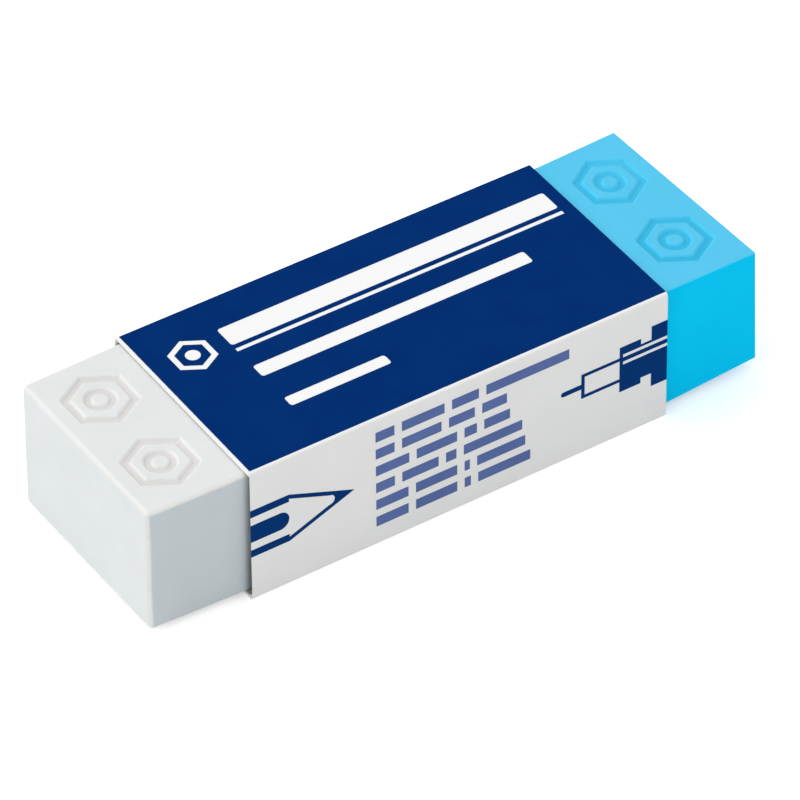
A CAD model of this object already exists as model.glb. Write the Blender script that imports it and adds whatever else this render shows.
"""Looks of a two-part eraser in a folded card sleeve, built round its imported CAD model."""
import math
from collections import Counter

import bpy
from mathutils import Matrix, Vector


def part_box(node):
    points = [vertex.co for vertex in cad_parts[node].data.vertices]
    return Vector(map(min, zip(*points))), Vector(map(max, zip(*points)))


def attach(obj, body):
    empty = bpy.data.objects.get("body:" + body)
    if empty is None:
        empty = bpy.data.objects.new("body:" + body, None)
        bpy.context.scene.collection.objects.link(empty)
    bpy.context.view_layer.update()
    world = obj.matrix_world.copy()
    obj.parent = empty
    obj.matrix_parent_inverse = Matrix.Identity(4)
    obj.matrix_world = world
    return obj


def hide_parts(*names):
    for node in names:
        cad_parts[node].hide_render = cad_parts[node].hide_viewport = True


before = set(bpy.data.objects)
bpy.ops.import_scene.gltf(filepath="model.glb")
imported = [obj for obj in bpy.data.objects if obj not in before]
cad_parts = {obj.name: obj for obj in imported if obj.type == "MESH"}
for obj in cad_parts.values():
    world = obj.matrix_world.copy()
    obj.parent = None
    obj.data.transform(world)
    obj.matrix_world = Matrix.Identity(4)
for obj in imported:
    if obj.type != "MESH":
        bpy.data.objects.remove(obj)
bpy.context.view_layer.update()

MM = 0.001
X, Y, Z = range(3)

# What tells parts of a mesh apart: the same point, height or place, a long edge, and a face that looks up
SAME_POINT = 0.001 * MM
SAME_HEIGHT = 0.01 * MM
NEAR = 0.1 * MM
LONG_EDGE = 1 * MM
FACES_UP = 0.99

# View of the photograph, fitted to the corners of the block and the sleeve
VIEW_AZIMUTH = math.radians(-32.928)
VIEW_ELEVATION = math.radians(40.714)
VIEW_ROLL = math.radians(-0.453)
VIEW_DISTANCE = 600 * MM
VIEW_AIM = Vector((-0.143, -1.444, 5.451)) * MM
LENS = 298.9
SENSOR_WIDTH = 36
NEAREST_SEEN = 10 * MM
FARTHEST_SEEN = 20

# How the floor and the world light the object. To the camera both are white, and the lift keeps the floor so.
FLOOR_WIDTH = 6
FLOOR_GREY = 0.86
FLOOR_LIFT = 0.35
WORLD_LIGHT = 0.68

# Softboxes: azimuth, elevation and width in degrees, and how bright each alone makes white card that faces it
SOFTBOXES = {
    "left softbox": (-85, 28, 45, 0.12),
    "back left softbox": (-140, 45, 50, 0.33),
    "front softbox": (30, 35, 60, 0.12),
}

# Outer edges of the block. The edges that it rests on, and all edges of the blue part, are sharper.
BLOCK_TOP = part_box("white_eraser")[1].z
EDGE_RADIUS = 0.5 * MM
SHARPER = 0.4
ROUND_SEGMENTS = 8

# Pressed marks of the block, each in a square field that is cut fine enough to be pressed in
MARK_ACROSS_FLATS = 6.2 * MM
MARK_CORE_DIAMETER = 3 * MM
MARK_LINE = 0.7 * MM
MARK_WALL = 0.3 * MM
MARK_DEPTH = 0.25 * MM
MARK_INSET = 4.9 * MM
MARK_PITCH = 10 * MM
MARK_FIELD_GAP = 0.8 * MM
MARK_FIELD_CUTS = 95

# Blank of the sleeve. The ink stands a hair above the card.
CARD_THICKNESS = 0.33 * MM
INK_STANDS = 0.02 * MM
FOLD_RADIUS = 0.4 * MM
PANEL_STRIPS = 16
FLAP_HEIGHT = 9.45 * MM
LAP_DROP = 1 * MM

# Slanted cut of the front panel: how much shorter its inner side is, and how far in that side is looked for
CUT_SLANT = 0.25 * MM
INNER_SIDE = (0.2 * MM, 1.3 * MM)

# Places of the small rows on the front panel. The topmost row is longer.
ROWS_LEFT = -10 * MM
ROWS_RIGHT = 10.5 * MM
LONG_ROW_RIGHT = 13 * MM
LONG_ROW_LOW = 11 * MM

# Noises: the range that nearly all of each lies in, and how deep the grain is that they give a surface.
# Waves of the vinyl count for several times its grain, and fibres of the card are drawn out along X.
TONE_RANGE = (0.3, 0.7)
FIBRE_RANGE = (0.35, 0.65)
WAVES_TO_GRAIN = 4.0
FIBRE_SQUEEZE = (0.3, 1, 1)
VINYL_GRAIN_DEPTH = 0.004 * MM
CARD_GRAIN_DEPTH = 0.006 * MM
INK_GRAIN_DEPTH = 0.004 * MM

# How squarely a surface looks along an axis where the tone of that side begins, and where it is whole:
# at the smudge and the cut edges, on the block's flanks, on its upper side, and on the card's top and bottom
SQUARE_ON = (0.6, 0.9)
BLOCK_FLANK = (0.4, 0.8)
UPPER_SIDE = (0.35, 0.9)
CARD_LEVEL = (0.5, 0.9)

# Vinyl. Glow is how deep light gets under the skin, by colour. Shade is the most that slow changes of tone
# darken it, and the tone of the grooves begins a little under the upper side.
WHITE_GLOSS = 0.25
WHITE_GLOW = (0.5 * MM, 0.45 * MM, 0.4 * MM)
BLUE_GLOSS = 0.02
BLUE_GLOW = (0.2 * MM, 0.35 * MM, 0.5 * MM)
GLOW_SHARE = 0.3
VINYL_SHADE = 0.035
VINYL_ROUGHNESS = (0.42, 0.5)
GROOVE_START = 0.03 * MM

# Edge wear: where its mask and its patches together begin to show it, and where they show it whole
WEAR_STEP = (0.85, 1.15)

# Burnished edges of the vinyl: the leaning where they begin and are whole, their strength and their patches
EDGE_LEANING = (0.15, 0.5)
EDGE_BURNISH = 0.75
EDGE_PATCHES = 900.0

# The smudge that the mouth of the sleeve leaves: its place from mid-length, its half widths and its strength
SMUDGE_PLACE = 21.95 * MM
SMUDGE_CORE = 0.25 * MM
SMUDGE_REACH = 0.7 * MM
SMUDGE_STRENGTH = 0.75
SMUDGE_AT_TOP = 0.2
SMUDGE_THINNEST = 0.75

# Card and ink. The card's inside begins about its thickness in from the sleeve's box. Where it is rubbed,
# ink is off up to the first distance from the front face or the left cut edge, and whole from the second.
CARD_GLOSS = 0.2
CARD_ROUGHNESS = (0.5, 0.8)
CARD_INSIDE = (CARD_THICKNESS * 0.9, CARD_THICKNESS)
INK_GLOSS = 0.01
INK_ROUGHNESS = 0.6
RUBBED_FOLD = (0.47 * MM, 0.55 * MM)
RUBBED_EDGE = (0.18 * MM, 0.3 * MM)
RUBBED_PATCHES = 2500.0

# Shading of a mesh: edges sharper than the angle stay sharp, and flat faces keep their own normals
SMOOTH_ANGLE = math.radians(35)
FLAT_FACE_WEIGHT = 100

# How far corners lie off a true box, in mm, by evenly spaced sections from the left end to the right.
# The sleeve pinches the block, whose blue end is cut askew. The front panel bellies out at its lower left.
OFF_TRUE = {
    "white_eraser": [
        {
            "top back": (0.1, -0.1, 0), "top front": (0.25, 0, 0),
            "bottom front": (0.15, 0, 0.15), "bottom back": (0, 0, -0.05),
        },
        {
            "top back": (0, 0.1, 0.08), "top front": (0, -0.28, 0.08),
            "bottom front": (0, -0.3, 0), "bottom back": (0, 0.1, 0),
        },
        {"top front": (0, -0.14, 0), "bottom front": (0, -0.15, 0)},
        {},
    ],
    "blue_eraser": [
        {},
        {},
        {"top back": (0, 0, 0.08), "top front": (0, -0.05, 0.08), "bottom front": (0, -0.05, 0)},
        {
            "top back": (-0.8, 0.3, 0.2), "top front": (0.05, 0, 0.05),
            "bottom front": (0.5, 0, 0.8), "bottom back": (-0.3, 0, 0.7),
        },
    ],
    "card_sleeve": [
        {"top front": (0, 0.15, 0), "bottom front": (-0.25, -0.2, 0)},
        {"top front": (0, 0.15, 0)},
    ],
}


def toward(azimuth, elevation):
    """Unit vector from the object to a viewer or lamp. Azimuth 0 is the front, and 90 degrees the right."""
    flat = math.cos(elevation)
    return Vector((math.sin(azimuth) * flat, -math.cos(azimuth) * flat, math.sin(elevation)))


def colour(red, green, blue):
    """The linear colour of a colour that is given as it shows on screen, 0 to 1."""
    def linear(c):
        return c / 12.92 if c <= 0.04045 else ((c + 0.055) / 1.055) ** 2.4
    return (linear(red), linear(green), linear(blue), 1)


BLACK = colour(0, 0, 0)
GRAPHITE = colour(0.3, 0.3, 0.35)
CARD_FACE = (colour(0.902, 0.907, 0.901), colour(0.912, 0.917, 0.911))
CUT_CARD = (colour(0.94, 0.937, 0.927), colour(0.99, 0.987, 0.98))
CLEAN_CARD = colour(0.955, 0.958, 0.956)
INSIDE_CARD = colour(0.7, 0.695, 0.675)
NAVY_INK = (colour(0.0, 0.174, 0.425), colour(0.008, 0.19, 0.443))
FRONT_INK = (colour(0.019, 0.2, 0.434), colour(0.028, 0.215, 0.453))
ROWS_INK = (colour(0.344, 0.42, 0.63), colour(0.373, 0.449, 0.66))
WHITE_TONES = {
    "end": colour(0.865, 0.881, 0.885),
    "flank": colour(0.775, 0.808, 0.824),
    "top": colour(0.891, 0.9, 0.898),
    "edge": colour(0.93, 0.93, 0.918),
    "groove": colour(0.867, 0.858, 0.85),
}
BLUE_TONES = {
    "end": colour(0.0, 0.82, 0.995),
    "flank": colour(0.0, 0.805, 1.0),
    "top": colour(0.356, 0.783, 0.934),
    "edge": colour(0.33, 0.815, 0.955),
    "groove": colour(0.1, 0.702, 0.858),
}


# Shader nodes

def add(tree, kind, inputs=None, **settings):
    """Adds a shader node. An input is given as a value or as the output socket that feeds it."""
    made = tree.nodes.new(kind)
    for key, value in settings.items():
        setattr(made, key, value)
    for key, value in (inputs or {}).items():
        if isinstance(value, bpy.types.NodeSocket):
            tree.links.new(value, made.inputs[key])
        else:
            made.inputs[key].default_value = value
    return made


def calc(tree, operation, *values):
    """The result of a math node on values or sockets."""
    return add(tree, "ShaderNodeMath", dict(enumerate(values)), operation=operation).outputs[0]


def spread(tree, value, low, high, to_low=0.0, to_high=1.0):
    """Maps a value's range onto another one, without going past its ends."""
    return add(tree, "ShaderNodeMapRange", {0: value, 1: low, 2: high, 3: to_low, 4: to_high}).outputs[0]


def blend_colours(tree, factor, first, second):
    """The first colour at a factor of 0, the second at 1, and a mix of them between.

    A Mix node has sockets for every kind of value. Inputs 6 and 7 and output 2 are for colours.
    """
    return add(tree, "ShaderNodeMix", {0: factor, 6: first, 7: second}, data_type="RGBA").outputs[2]


def noise(tree, place, scale, detail, roughness=0.5, distortion=0.0):
    """A noise of 0 to 1, with about as many patches to a metre as its scale says."""
    inputs = {
        "Vector": place, "Scale": scale,
        "Detail": detail, "Roughness": roughness, "Distortion": distortion,
    }
    return add(tree, "ShaderNodeTexNoise", inputs).outputs[0]


def parts_of(tree, vector):
    """The three parts of a vector, as sockets."""
    return add(tree, "ShaderNodeSeparateXYZ", {0: vector}).outputs


def seen_directly(tree):
    """1 for what the camera sees, straight or in a mirror or glass, and 0 for light that falls on things."""
    path = add(tree, "ShaderNodeLightPath")
    direct = calc(tree, "MAXIMUM", path.outputs["Is Camera Ray"], path.outputs["Is Glossy Ray"])
    return calc(tree, "MAXIMUM", direct, path.outputs["Is Transmission Ray"])


def facing(tree, axis, begins, whole):
    """0 to 1 by how squarely the surface faces an axis, either way."""
    normal = add(tree, "ShaderNodeTexCoord").outputs["Normal"]
    return spread(tree, calc(tree, "ABSOLUTE", parts_of(tree, normal)[axis]), begins, whole)


def bump(tree, shader, height, depth):
    """Bumps the shader by a height, of which 1 stands for the depth that is given."""
    made = add(tree, "ShaderNodeBump", {"Height": height, "Strength": 1.0, "Distance": depth})
    tree.links.new(made.outputs[0], shader.inputs["Normal"])


# Camera, floor, world and lamps

def make_camera():
    """The camera, at the photograph's point of view."""
    camera = bpy.data.objects.new("camera", bpy.data.cameras.new("camera"))
    bpy.context.scene.collection.objects.link(camera)
    back = toward(VIEW_AZIMUTH, VIEW_ELEVATION)
    level_right = Vector((math.cos(VIEW_AZIMUTH), math.sin(VIEW_AZIMUTH), 0))
    level_up = back.cross(level_right)
    right = math.cos(VIEW_ROLL) * level_right + math.sin(VIEW_ROLL) * level_up
    up = math.cos(VIEW_ROLL) * level_up - math.sin(VIEW_ROLL) * level_right
    place = VIEW_AIM + VIEW_DISTANCE * back
    camera.matrix_world = Matrix.Translation(place) @ Matrix((right, up, back)).transposed().to_4x4()
    camera.data.lens = LENS
    camera.data.sensor_width = SENSOR_WIDTH
    camera.data.clip_start = NEAREST_SEEN
    camera.data.clip_end = FARTHEST_SEEN
    bpy.context.scene.camera = camera
    bpy.context.scene.view_settings.view_transform = "Standard"


def make_floor():
    """A floor that lights the object as pale grey does, and that the camera sees as white."""
    bpy.ops.object.select_all(action="DESELECT")
    bpy.ops.mesh.primitive_plane_add(size=FLOOR_WIDTH)
    floor = bpy.context.object
    floor.name = "floor"
    made = bpy.data.materials.new("floor")
    made.use_nodes = True
    tree = made.node_tree
    tree.nodes.clear()
    pale = add(tree, "ShaderNodeBsdfDiffuse", {"Color": (FLOOR_GREY, FLOOR_GREY, FLOOR_GREY, 1)})
    white = add(tree, "ShaderNodeBsdfDiffuse", {"Color": (1, 1, 1, 1)})
    lift = add(tree, "ShaderNodeEmission", {"Strength": FLOOR_LIFT})
    shown = add(tree, "ShaderNodeAddShader", {0: white.outputs[0], 1: lift.outputs[0]})
    mix = add(tree, "ShaderNodeMixShader", {0: seen_directly(tree), 1: pale.outputs[0], 2: shown.outputs[0]})
    add(tree, "ShaderNodeOutputMaterial", {"Surface": mix.outputs[0]})
    floor.data.materials.append(made)


def make_world():
    """A white surround, which lights the object less than the camera sees."""
    world = bpy.data.worlds.new("studio")
    world.use_nodes = True
    bpy.context.scene.world = world
    tree = world.node_tree
    tree.nodes.clear()
    level = add(tree, "ShaderNodeMix", {"Factor": seen_directly(tree), "A": WORLD_LIGHT, "B": 1.0})
    sky = add(tree, "ShaderNodeBackground", {"Color": (1, 1, 1, 1), "Strength": level.outputs["Result"]})
    add(tree, "ShaderNodeOutputWorld", {"Surface": sky.outputs[0]})


def make_softbox(name, azimuth, elevation, width, light):
    """A far round softbox. Its energy is pi times the brightness that it gives to white card facing it."""
    lamp = bpy.data.objects.new(name, bpy.data.lights.new(name, "SUN"))
    bpy.context.scene.collection.objects.link(lamp)
    direction = toward(math.radians(azimuth), math.radians(elevation))
    lamp.rotation_euler = direction.to_track_quat("Z", "Y").to_euler()
    lamp.data.angle = math.radians(width)
    lamp.data.energy = math.pi * light


# Effects that more than one material uses

def new_group(name, inputs, outputs):
    """A node group and the sockets of its inputs: a place on the object, and numbers with usual values."""
    group = bpy.data.node_groups.new(name, "ShaderNodeTree")
    group.interface.new_socket("Vector", in_out="INPUT", socket_type="NodeSocketVector")
    for label, value in inputs.items():
        socket = group.interface.new_socket(label, in_out="INPUT", socket_type="NodeSocketFloat")
        socket.default_value = value
    for label in outputs:
        group.interface.new_socket(label, in_out="OUTPUT", socket_type="NodeSocketFloat")
    return group, add(group, "NodeGroupInput").outputs


def make_vinyl_skin():
    """Skin of a moulded eraser: a fine matt grain and slow waves, as a height, and slow changes of tone."""
    group, given = new_group("vinyl skin", {"Grain": 6000.0, "Waves": 220.0}, ["Height", "Tone"])
    grain = noise(group, given["Vector"], given["Grain"], detail=3.0, roughness=0.6)
    waves = noise(group, given["Vector"], given["Waves"], detail=2.0)
    height = calc(group, "MULTIPLY_ADD", waves, WAVES_TO_GRAIN, grain)
    add(group, "NodeGroupOutput", {"Height": height, "Tone": waves})
    return group


def make_paper_fibre():
    """Surface of coated board: short fibres that lie mostly along the sheet, under a smooth coat."""
    group, given = new_group("paper fibre", {"Fibres": 2500.0, "Clouds": 300.0}, ["Height", "Tone"])
    inputs = {0: given["Vector"], 1: FIBRE_SQUEEZE}
    along = add(group, "ShaderNodeVectorMath", inputs, operation="MULTIPLY")
    fibre = noise(group, along.outputs[0], given["Fibres"], detail=4.0, roughness=0.6, distortion=0.4)
    cloud = noise(group, given["Vector"], given["Clouds"], detail=3.0)
    add(group, "NodeGroupOutput", {"Height": fibre, "Tone": cloud})
    return group


def make_uneven_wear():
    """A mask broken up by patches, as edges wear: whole where it is strong, and in spots where it is weak."""
    group, given = new_group("uneven wear", {"Mask": 0.0, "Patches": 1500.0}, ["Mask"])
    patches = noise(group, given["Vector"], given["Patches"], detail=3.0, roughness=0.6)
    bare = spread(group, calc(group, "ADD", given["Mask"], patches), *WEAR_STEP)
    add(group, "NodeGroupOutput", {"Mask": calc(group, "MULTIPLY", bare, given["Mask"])})
    return group


# Materials

def new_material(name):
    """A material with an empty tree, its principled shader and the place of each point on the object."""
    made = bpy.data.materials.new(name)
    made.use_nodes = True
    tree = made.node_tree
    tree.nodes.clear()
    shader = add(tree, "ShaderNodeBsdfPrincipled")
    add(tree, "ShaderNodeOutputMaterial", {"Surface": shader.outputs[0]})
    place = add(tree, "ShaderNodeTexCoord").outputs["Object"]
    return made, tree, shader, place


def burnished(tree, wear, place, slopes):
    """Where an edge is burnished: a surface that leans two ways at once is on a rounded edge."""
    leaning = [calc(tree, "ABSOLUTE", calc(tree, "MULTIPLY", slopes[a], slopes[b]))
               for a, b in ((X, Y), (X, Z), (Y, Z))]
    most = calc(tree, "MAXIMUM", calc(tree, "MAXIMUM", leaning[0], leaning[1]), leaning[2])
    mask = spread(tree, most, *EDGE_LEANING, 0.0, EDGE_BURNISH)
    inputs = {"Vector": place, "Mask": mask, "Patches": EDGE_PATCHES}
    return add(tree, "ShaderNodeGroup", inputs, node_tree=wear).outputs[0]


def smudge(tree, place, tone):
    """Graphite that the mouth of the sleeve has left across the long sides, strongest low down."""
    along, _, height = parts_of(tree, place)
    off_mouth = calc(tree, "SUBTRACT", calc(tree, "ABSOLUTE", along), SMUDGE_PLACE)
    near = spread(tree, calc(tree, "ABSOLUTE", off_mouth), SMUDGE_CORE, SMUDGE_REACH, 1.0, 0.0)
    on_side = calc(tree, "MULTIPLY", near, facing(tree, Y, *SQUARE_ON))
    fading = spread(tree, height, 0.0, BLOCK_TOP, SMUDGE_STRENGTH, SMUDGE_STRENGTH * SMUDGE_AT_TOP)
    uneven = calc(tree, "MULTIPLY", fading, spread(tree, tone, *TONE_RANGE, SMUDGE_THINNEST, 1.0))
    return calc(tree, "MULTIPLY", on_side, uneven)


def vinyl(name, skin, wear, tones, gloss, glow, smudged=False):
    """Soft filled vinyl with a pale bloom on its upper face. Smudged adds graphite at the sleeve's mouth."""
    made, tree, shader, place = new_material(name)
    height, tone = add(tree, "ShaderNodeGroup", {"Vector": place}, node_tree=skin).outputs
    slopes = parts_of(tree, add(tree, "ShaderNodeTexCoord").outputs["Normal"])
    upward = spread(tree, slopes[Z], *UPPER_SIDE)
    body = blend_colours(tree, facing(tree, Y, *BLOCK_FLANK), tones["end"], tones["flank"])
    body = blend_colours(tree, upward, body, tones["top"])
    body = blend_colours(tree, burnished(tree, wear, place, slopes), body, tones["edge"])
    up = parts_of(tree, place)[Z]
    sunk = spread(tree, up, BLOCK_TOP - MARK_DEPTH, BLOCK_TOP - GROOVE_START, 1.0, 0.0)
    body = blend_colours(tree, calc(tree, "MULTIPLY", sunk, upward), body, tones["groove"])
    if smudged:
        body = blend_colours(tree, smudge(tree, place, tone), body, GRAPHITE)
    shade = spread(tree, tone, *TONE_RANGE, 0.0, VINYL_SHADE)
    tree.links.new(blend_colours(tree, shade, body, BLACK), shader.inputs["Base Color"])
    tree.links.new(spread(tree, tone, *TONE_RANGE, *VINYL_ROUGHNESS), shader.inputs["Roughness"])
    shader.inputs["Specular IOR Level"].default_value = gloss
    shader.inputs["Subsurface Weight"].default_value = GLOW_SHARE
    shader.inputs["Subsurface Radius"].default_value = glow
    shader.inputs["Subsurface Scale"].default_value = 1.0
    bump(tree, shader, height, VINYL_GRAIN_DEPTH)
    return made


def inside_sleeve(tree, place):
    """1 inside the sleeve, a card's thickness or more within its box, and 0 on its outer faces."""
    low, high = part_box("card_sleeve")
    depths = []
    for axis in (Y, Z):
        off = calc(tree, "SUBTRACT", parts_of(tree, place)[axis], (low[axis] + high[axis]) / 2)
        depths.append(calc(tree, "SUBTRACT", (high[axis] - low[axis]) / 2, calc(tree, "ABSOLUTE", off)))
    return spread(tree, calc(tree, "MINIMUM", *depths), *CARD_INSIDE)


def card(name, fibre):
    """White board, coated outside and a little greyed at its sides. Raw fibre shows at cuts and inside."""
    made, tree, shader, place = new_material(name)
    height, tone = add(tree, "ShaderNodeGroup", {"Vector": place}, node_tree=fibre).outputs
    coated = blend_colours(tree, spread(tree, tone, *TONE_RANGE), *CARD_FACE)
    coated = blend_colours(tree, facing(tree, Z, *CARD_LEVEL), coated, CLEAN_CARD)
    inside = inside_sleeve(tree, place)
    raw = blend_colours(tree, spread(tree, height, *FIBRE_RANGE), *CUT_CARD)
    raw = blend_colours(tree, inside, raw, INSIDE_CARD)
    bare = calc(tree, "MAXIMUM", inside, facing(tree, X, *SQUARE_ON))
    tree.links.new(blend_colours(tree, bare, coated, raw), shader.inputs["Base Color"])
    tree.links.new(spread(tree, bare, 0.0, 1.0, *CARD_ROUGHNESS), shader.inputs["Roughness"])
    shader.inputs["Specular IOR Level"].default_value = CARD_GLOSS
    bump(tree, shader, height, CARD_GRAIN_DEPTH)
    return made


def ink(name, fibre, tones, wear=None):
    """Flat printed ink that sinks into the card a little unevenly.

    Where wear is given, the ink is rubbed off the front fold and the left cut edge.
    """
    made, tree, shader, place = new_material(name)
    height, tone = add(tree, "ShaderNodeGroup", {"Vector": place}, node_tree=fibre).outputs
    body = blend_colours(tree, spread(tree, tone, *TONE_RANGE), *tones)
    if wear:
        along, across, _ = parts_of(tree, place)
        left, front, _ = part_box("card_sleeve")[0]
        on_fold = spread(tree, across, front + RUBBED_FOLD[0], front + RUBBED_FOLD[1], 1.0, 0.0)
        on_edge = spread(tree, along, left + RUBBED_EDGE[0], left + RUBBED_EDGE[1], 1.0, 0.0)
        mask = calc(tree, "MAXIMUM", on_fold, on_edge)
        inputs = {"Vector": place, "Mask": mask, "Patches": RUBBED_PATCHES}
        rubbed = add(tree, "ShaderNodeGroup", inputs, node_tree=wear).outputs[0]
        body = blend_colours(tree, rubbed, body, CLEAN_CARD)
    tree.links.new(body, shader.inputs["Base Color"])
    shader.inputs["Roughness"].default_value = INK_ROUGHNESS
    shader.inputs["Specular IOR Level"].default_value = INK_GLOSS
    bump(tree, shader, height, INK_GRAIN_DEPTH)
    return made


def paint(piece, *materials):
    """Gives a piece its materials. Its faces take the first."""
    piece.data.materials.clear()
    for made in materials:
        piece.data.materials.append(made)


# Modelling

def select(piece, kind, wanted):
    """Selects in edit mode the vertices, edges or faces for which wanted is true.

    It is given the place of a vertex, the two ends of an edge, or a face.
    """
    bpy.ops.object.mode_set(mode="OBJECT")
    mesh = piece.data
    for part in (mesh.vertices, mesh.edges, mesh.polygons):
        part.foreach_set("select", [False] * len(part))
    if kind == "VERT":
        for point in mesh.vertices:
            point.select = wanted(point.co)
    elif kind == "EDGE":
        for edge in mesh.edges:
            edge.select = wanted(*(mesh.vertices[end].co for end in edge.vertices))
    else:
        for face in mesh.polygons:
            face.select = wanted(face)
    bpy.ops.object.mode_set(mode="EDIT")
    bpy.ops.mesh.select_mode(type=kind)


def apply(piece, modifier):
    """Makes a modifier part of the piece's mesh."""
    bpy.ops.object.select_all(action="DESELECT")
    piece.select_set(True)
    bpy.context.view_layer.objects.active = piece
    bpy.ops.object.modifier_apply(modifier=modifier.name)


def finish_faces(piece):
    """Smooth across rounded edges, with the flat faces kept flat."""
    bpy.ops.object.mode_set(mode="OBJECT")
    bpy.ops.object.shade_smooth_by_angle(angle=SMOOTH_ANGLE)
    weights = piece.modifiers.new("flat faces", "WEIGHTED_NORMAL")
    weights.keep_sharp = True
    weights.weight = FLAT_FACE_WEIGHT
    apply(piece, weights)


def ease_edges(piece, share):
    """Rounds each edge by its share of the edge radius, which is worked out from the two ends of the edge."""
    mesh = piece.data
    weights = mesh.attributes.new("bevel_weight_edge", "FLOAT", "EDGE")
    for edge in mesh.edges:
        weights.data[edge.index].value = share(*(mesh.vertices[end].co for end in edge.vertices))
    ease = piece.modifiers.new("eased edges", "BEVEL")
    ease.limit_method = "WEIGHT"
    ease.width = EDGE_RADIUS
    ease.segments = ROUND_SEGMENTS
    apply(piece, ease)


def cut(axis, place):
    """Cuts through the whole piece in edit mode, square to an axis."""
    normal = [0, 0, 0]
    normal[axis] = 1
    point = [0, 0, 0]
    point[axis] = place
    bpy.ops.mesh.select_all(action="SELECT")
    bpy.ops.mesh.bisect(plane_co=point, plane_no=normal)


def set_off_true(piece, node):
    """Moves a piece with the corners of its node's box, section by section along the length."""
    low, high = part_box(node)
    size = high - low
    sections = OFF_TRUE[node]
    bpy.ops.object.select_all(action="DESELECT")
    bpy.ops.object.add(type="LATTICE", location=(low + high) / 2)
    cage = bpy.context.object
    cage.scale = size
    cage.data.points_u = len(sections)
    cage.data.interpolation_type_u = "KEY_LINEAR"
    cage.data.interpolation_type_v = "KEY_LINEAR"
    cage.data.interpolation_type_w = "KEY_LINEAR"
    for point in cage.data.points:
        section = sections[round((point.co.x + 0.5) * (len(sections) - 1))]
        corner = ("top" if point.co.z > 0 else "bottom") + (" back" if point.co.y > 0 else " front")
        shift = Vector(section.get(corner, (0, 0, 0))) * MM
        point.co_deform = Vector([point.co[axis] + shift[axis] / size[axis] for axis in (X, Y, Z)])
    bend = piece.modifiers.new("off true", "LATTICE")
    bend.object = cage
    apply(piece, bend)
    bpy.data.objects.remove(cage)


# The block

def pressed(x, y):
    """How deep a mark is at a place counted from its centre, 0 to 1, with soft walls.

    It is a circle line in a hexagon line, whose flats face along X and at 60 degrees to it.
    """
    hexagon_line = MARK_ACROSS_FLATS / 2 - MARK_LINE / 2
    core_line = MARK_CORE_DIAMETER / 2 - MARK_LINE / 2
    from_middle_of_flats = max(abs(x), abs(x) * 0.5 + abs(y) * math.sqrt(0.75))
    off = min(abs(from_middle_of_flats - hexagon_line), abs(math.hypot(x, y) - core_line))
    down = (MARK_LINE / 2 + MARK_WALL / 2 - off) / MARK_WALL
    down = min(max(down, 0), 1)
    return down * down * (3 - 2 * down)


def press_marks(piece, end_x, end, mid_y, top_z):
    """Presses two marks side by side into the upper face, near the end that lies towards -X or +X."""
    mark_x = end_x - end * MARK_INSET
    mark_ys = [mid_y - MARK_PITCH / 2, mid_y + MARK_PITCH / 2]
    half = (MARK_PITCH - MARK_FIELD_GAP) / 2
    half_x = min(half, MARK_INSET - EDGE_RADIUS - NEAR)
    bpy.ops.object.mode_set(mode="EDIT")
    cut(X, mark_x - half_x)
    cut(X, mark_x + half_x)
    for mark_y in mark_ys:
        cut(Y, mark_y - half)
        cut(Y, mark_y + half)
    select(piece, "FACE", lambda face: face.normal.z > FACES_UP and abs(face.center.x - mark_x) < half_x
           and min(abs(face.center.y - y) for y in mark_ys) < half)
    bpy.ops.mesh.subdivide(number_cuts=MARK_FIELD_CUTS)
    bpy.ops.object.mode_set(mode="OBJECT")

    group = piece.vertex_groups.new(name="pressed")
    for point in piece.data.vertices:
        if point.co.z > top_z - SAME_HEIGHT and abs(point.co.x - mark_x) < half_x:
            mark_y = min(mark_ys, key=lambda y: abs(point.co.y - y))
            depth = pressed(point.co.x - mark_x, point.co.y - mark_y)
            if depth > 0:
                group.add([point.index], depth, "REPLACE")
    press = piece.modifiers.new("press", "DISPLACE")
    press.direction = "Z"
    press.mid_level = 0
    press.strength = -MARK_DEPTH
    press.vertex_group = group.name
    apply(piece, press)


def make_eraser(name, node, body, end):
    """One part of the block. Its bonded face is at the middle, and its end lies towards -X or +X."""
    low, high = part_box(node)
    bpy.ops.object.select_all(action="DESELECT")
    bpy.ops.mesh.primitive_cube_add(size=1, location=(low + high) / 2)
    piece = bpy.context.object
    piece.name = name
    piece.scale = high - low
    bpy.ops.object.transform_apply(location=True, rotation=False, scale=True)
    end_x, bond_x = (low.x, high.x) if end < 0 else (high.x, low.x)

    def share_of_radius(a, b):
        if max(abs(a.x - bond_x), abs(b.x - bond_x)) < NEAR:
            return 0
        return SHARPER if end > 0 or max(a.z, b.z) < low.z + NEAR else 1
    ease_edges(piece, share_of_radius)
    press_marks(piece, end_x, end, (low.y + high.y) / 2, high.z)
    set_off_true(piece, node)
    finish_faces(piece)
    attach(piece, body)
    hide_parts(node)
    return piece


# The sleeve and its print

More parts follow.
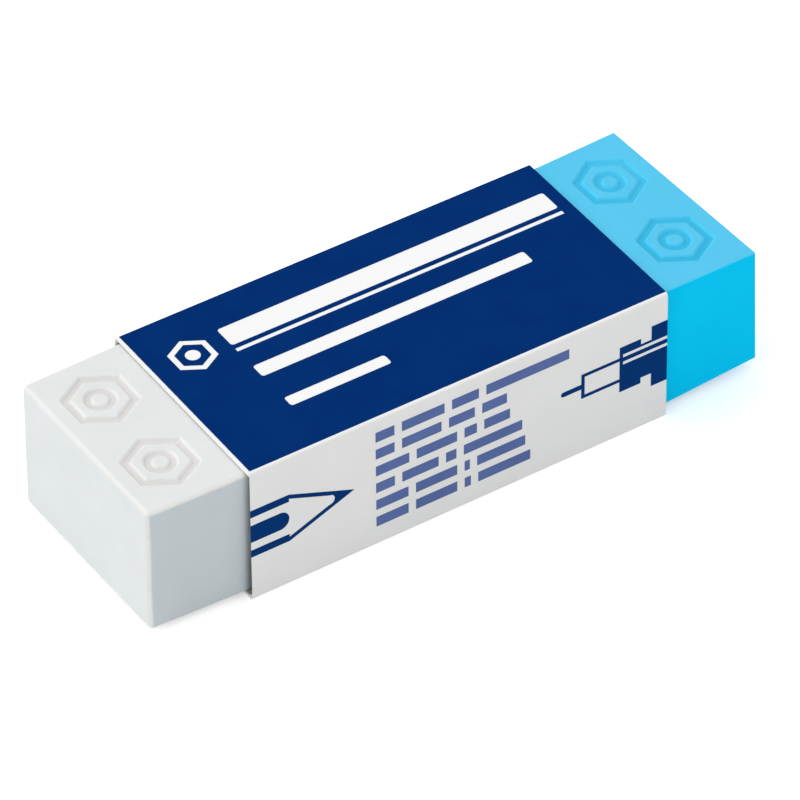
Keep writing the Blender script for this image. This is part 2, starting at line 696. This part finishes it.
def make_sleeve(name, node):
    """The folded blank: a strip through the outer faces, from the back panel round to the glue flap."""
    low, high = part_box(node)
    flap_y = high.y - CARD_THICKNESS - 2 * INK_STANDS
    front_y = low.y + INK_STANDS
    top_z = high.z - INK_STANDS
    bpy.ops.object.select_all(action="DESELECT")
    middle = ((low.x + high.x) / 2, (front_y + high.y) / 2, low.z)
    bpy.ops.mesh.primitive_plane_add(size=1, location=middle)
    piece = bpy.context.object
    piece.name = name
    piece.scale = (high.x - low.x, high.y - front_y, 1)
    bpy.ops.object.transform_apply(location=True, rotation=False, scale=True)

    # The bottom panel is the plane, cut into strips. The other panels are extruded from its long edges.
    select(piece, "EDGE", lambda a, b: abs(a.x - b.x) > LONG_EDGE)
    bpy.ops.mesh.subdivide(number_cuts=PANEL_STRIPS - 1)
    select(piece, "EDGE", lambda a, b: max(a.y, b.y) < front_y + NEAR)
    for step in ((0, 0, top_z - low.z), (0, flap_y - front_y, 0), (0, 0, -FLAP_HEIGHT)):
        bpy.ops.mesh.extrude_edges_move(TRANSFORM_OT_translate={"value": step})
    select(piece, "EDGE", lambda a, b: min(a.y, b.y) > high.y - NEAR)
    bpy.ops.mesh.extrude_edges_move(TRANSFORM_OT_translate={"value": (0, 0, top_z - low.z - LAP_DROP)})
    bpy.ops.mesh.select_all(action="SELECT")
    bpy.ops.mesh.flip_normals()

    # The four folds, and then the thickness, inwards
    corners = [(front_y, low.z), (front_y, top_z), (flap_y, top_z), (high.y, low.z)]

    def on_fold(point):
        return min(math.hypot(point.y - y, point.z - z) for y, z in corners) < NEAR
    select(piece, "EDGE", lambda a, b: on_fold(a) and on_fold(b) and abs(a.x - b.x) > LONG_EDGE)
    bpy.ops.mesh.bevel(offset=FOLD_RADIUS, segments=ROUND_SEGMENTS, affect="EDGES")
    bpy.ops.object.mode_set(mode="OBJECT")
    thick = piece.modifiers.new("card", "SOLIDIFY")
    thick.thickness = CARD_THICKNESS
    thick.offset = -1
    thick.use_even_offset = True
    apply(piece, thick)

    # The blank was cut at a slant, so the inner side of the front panel ends a little short
    half = (high.x - low.x) / 2
    shorter = (half - CUT_SLANT) / half
    select(piece, "VERT", lambda point: INNER_SIDE[0] < point.y - low.y < INNER_SIDE[1]
           and low.z + FOLD_RADIUS < point.z < high.z - FOLD_RADIUS)
    bpy.ops.transform.resize(value=(shorter, 1, 1), center_override=(0, 0, 0))
    bpy.ops.object.mode_set(mode="OBJECT")
    set_off_true(piece, node)
    finish_faces(piece)
    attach(piece, "sleeve")
    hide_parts(node)
    return piece


def make_print(name, node):
    """A print layer: the outlines of the CAD print, laid on the panels of the card."""
    piece = bpy.data.objects.new(name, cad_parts[node].data.copy())
    bpy.context.scene.collection.objects.link(piece)
    bpy.ops.object.select_all(action="DESELECT")
    piece.select_set(True)
    bpy.context.view_layer.objects.active = piece
    bpy.ops.object.mode_set(mode="EDIT")
    bpy.ops.mesh.select_all(action="SELECT")
    bpy.ops.mesh.remove_doubles(threshold=SAME_POINT)
    bpy.ops.object.mode_set(mode="OBJECT")

    # Two outlines that meet share a wall inside the ink. Only the faces of that wall have two or more edges
    # on which three faces meet.
    faces_on = Counter(edge for face in piece.data.polygons for edge in face.edge_keys)
    select(piece, "FACE", lambda face: sum(faces_on[edge] > 2 for edge in face.edge_keys) > 1)
    bpy.ops.mesh.delete(type="ONLY_FACE")
    bpy.ops.object.mode_set(mode="OBJECT")
    set_off_true(piece, "card_sleeve")
    finish_faces(piece)
    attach(piece, "sleeve")
    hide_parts(node)
    return piece


def in_rows(place):
    """Whether a place on the front panel is in the small rows, and not in one of the two figures."""
    return ROWS_LEFT < place.x < (LONG_ROW_RIGHT if place.z > LONG_ROW_LOW else ROWS_RIGHT)


make_camera()
make_floor()
make_world()
for softbox, place_and_light in SOFTBOXES.items():
    make_softbox(softbox, *place_and_light)

vinyl_skin = make_vinyl_skin()
paper_fibre = make_paper_fibre()
uneven_wear = make_uneven_wear()
white_vinyl = vinyl("white vinyl", vinyl_skin, uneven_wear,
                    WHITE_TONES, WHITE_GLOSS, WHITE_GLOW, smudged=True)
blue_vinyl = vinyl("blue vinyl", vinyl_skin, uneven_wear, BLUE_TONES, BLUE_GLOSS, BLUE_GLOW)
coated_card = card("coated card", paper_fibre)
navy_ink = ink("navy ink", paper_fibre, NAVY_INK, uneven_wear)
front_ink = ink("front ink", paper_fibre, FRONT_INK)
rows_ink = ink("front ink in small rows", paper_fibre, ROWS_INK)

paint(make_eraser("white_eraser_block", "white_eraser", "block", -1), white_vinyl)
paint(make_eraser("blue_eraser_block", "blue_eraser", "block", 1), blue_vinyl)
paint(make_sleeve("folded_card_sleeve", "card_sleeve"), coated_card)
paint(make_print("top_print_layer", "top_print"), navy_ink)

# The small rows are printed in a paler tint than the two figures
front_layer = make_print("front_print_layer", "front_print")
paint(front_layer, front_ink, rows_ink)
for face in front_layer.data.polygons:
    if in_rows(face.center):
        face.material_index = 1
